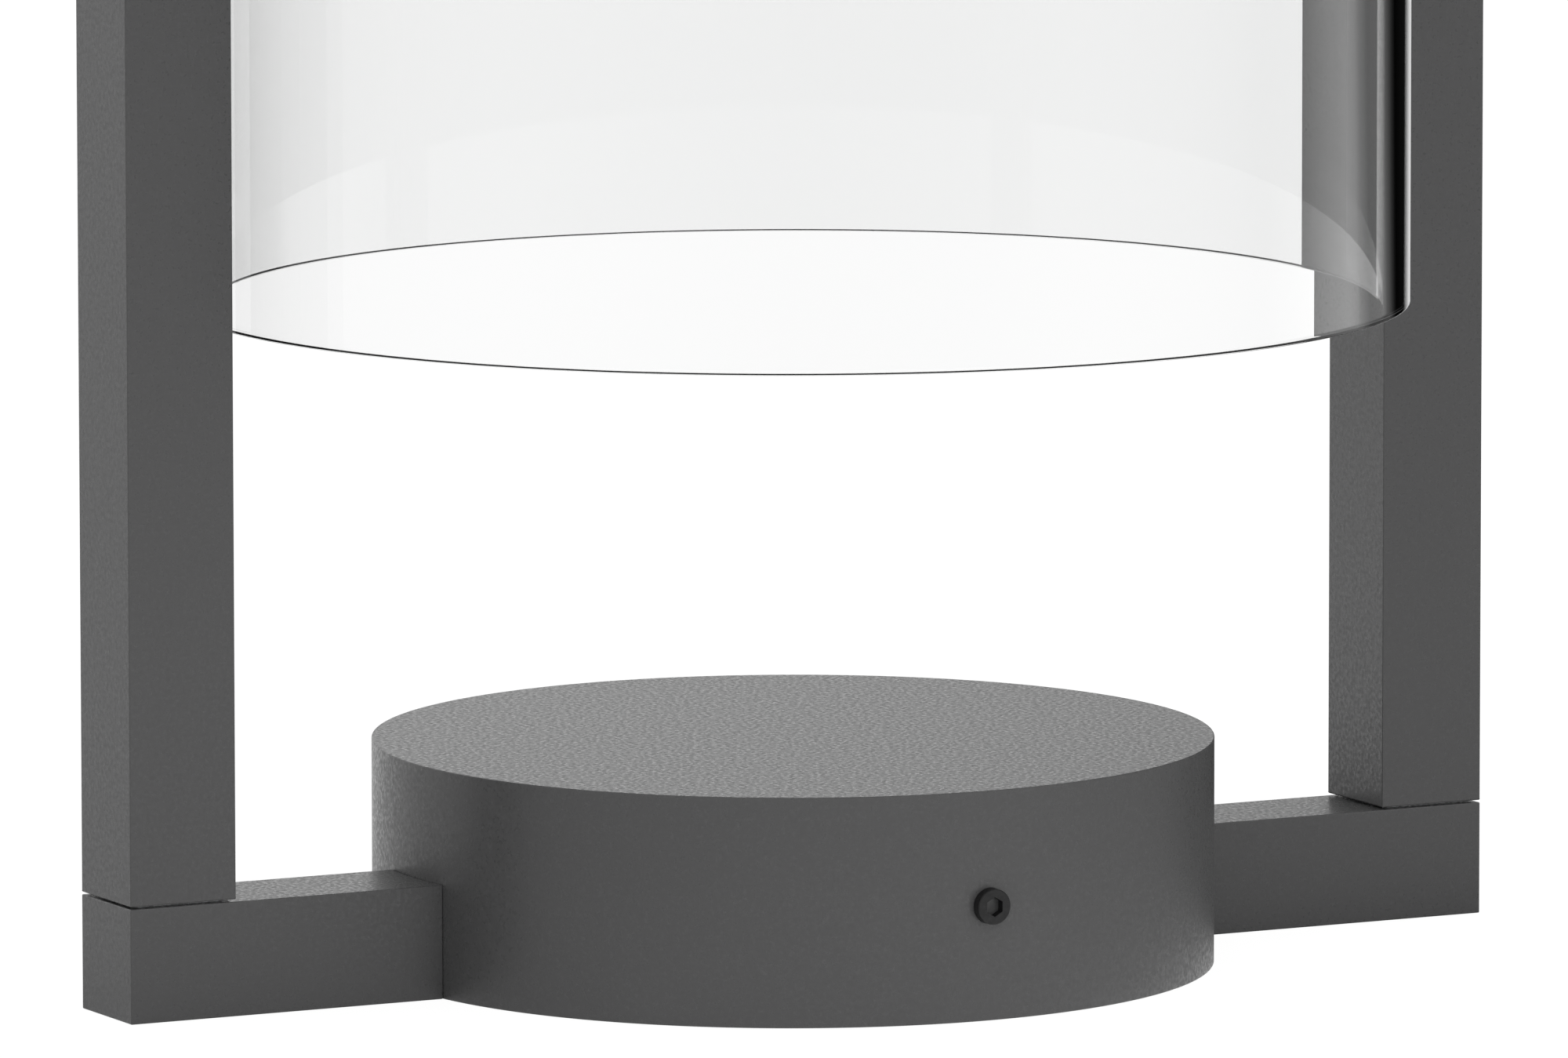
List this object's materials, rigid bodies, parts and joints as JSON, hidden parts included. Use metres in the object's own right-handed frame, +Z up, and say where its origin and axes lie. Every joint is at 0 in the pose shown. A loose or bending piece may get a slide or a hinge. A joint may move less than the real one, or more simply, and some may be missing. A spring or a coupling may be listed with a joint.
{
  "type": "garden lantern",
  "caption": "Outdoor pedestal lantern: a round base and head joined by square-tube arms and uprights, with a clear glass cylinder hung open over the base.",
  "frame": {"origin": "on the ground under the middle of the base drum", "axes": "+Z up along the glass cylinder's axis, X along the arms that join the drums to the uprights, -Y towards the front with the front fixing screw"},
  "size_m": [0.266, 0.223, 0.5],
  "materials": {
    "powder_coat": "fine-textured anthracite powder coat",
    "zinc_plate": "zinc-plated pressed steel",
    "stainless": "plain stainless steel screws",
    "dark_screw": "blackened stainless steel",
    "aluminium": "bare milled and extruded aluminium",
    "clear_glass": "clear drawn glass, polished edges",
    "opal": "satin opal diffuser",
    "black_rubber": "matt black rubber",
    "silicone": "milky translucent silicone",
    "black_plastic": "matt black nylon",
    "grey_plastic": "moulded grey plastic",
    "white_plastic": "moulded white plastic"
  },
  "bodies": {
    "lantern": {"base_drum": "powder_coat", "head_drum": "powder_coat", "glass_carrier": "powder_coat", "diffuser_ring": "powder_coat", "upright_left": "powder_coat", "upright_right": "powder_coat", "base_arm_left": "powder_coat", "base_arm_right": "powder_coat", "head_arm_left": "powder_coat", "head_arm_right": "powder_coat", "base_arm_anchor_left": "aluminium", "base_arm_anchor_right": "aluminium", "head_arm_anchor_left": "aluminium", "head_arm_anchor_right": "aluminium", "base_corner_block_left": "aluminium", "base_corner_block_right": "aluminium", "head_corner_block_left": "aluminium", "head_corner_block_right": "aluminium", "base_anchor_screw_left": "stainless", "base_anchor_screw_right": "stainless", "head_anchor_screw_left": "stainless", "head_anchor_screw_right": "stainless", "base_corner_screw_left": "stainless", "base_corner_screw_right": "stainless", "head_corner_screw_left": "stainless", "head_corner_screw_right": "stainless", "base_access_plug_left": "black_plastic", "base_access_plug_right": "black_plastic", "head_access_plug_left": "black_plastic", "head_access_plug_right": "black_plastic", "carrier_screw_1": "stainless", "carrier_screw_2": "stainless", "carrier_screw_3": "stainless", "glass_screw_1": "stainless", "glass_screw_2": "stainless", "glass_screw_3": "stainless", "glass_bush_1": "silicone", "glass_bush_2": "silicone", "glass_bush_3": "silicone", "glass_gasket": "silicone", "glass_tube": "clear_glass", "carrier_gasket": "black_rubber", "heat_sink": "aluminium", "led_board": "white_plastic", "diffuser": "opal", "led_driver": "white_plastic", "led_lead": "black_rubber", "internal_lead": "black_rubber", "mounting_plate": "zinc_plate", "junction_box": "grey_plastic", "junction_box_lid": "grey_plastic", "lid_screw_1": "stainless", "lid_screw_2": "stainless", "terminal_block": "white_plastic", "cable_grommet": "black_rubber", "lead_gland": "black_plastic"},
    "front_screw": {"base_screw_front": "dark_screw"},
    "rear_screw": {"base_screw_rear": "dark_screw"}
  },
  "joints": [
    {"name": "front_screw_turn", "type": "hinge", "parent": "lantern", "child": "front_screw", "pos_m": [0, -0.074, 0.02], "axis": [0, -1, 0], "range_deg": [0, 990]},
    {"name": "rear_screw_turn", "type": "hinge", "parent": "lantern", "child": "rear_screw", "pos_m": [0, 0.074, 0.02], "axis": [0, 1, 0], "range_deg": [0, 990]}
  ]
}
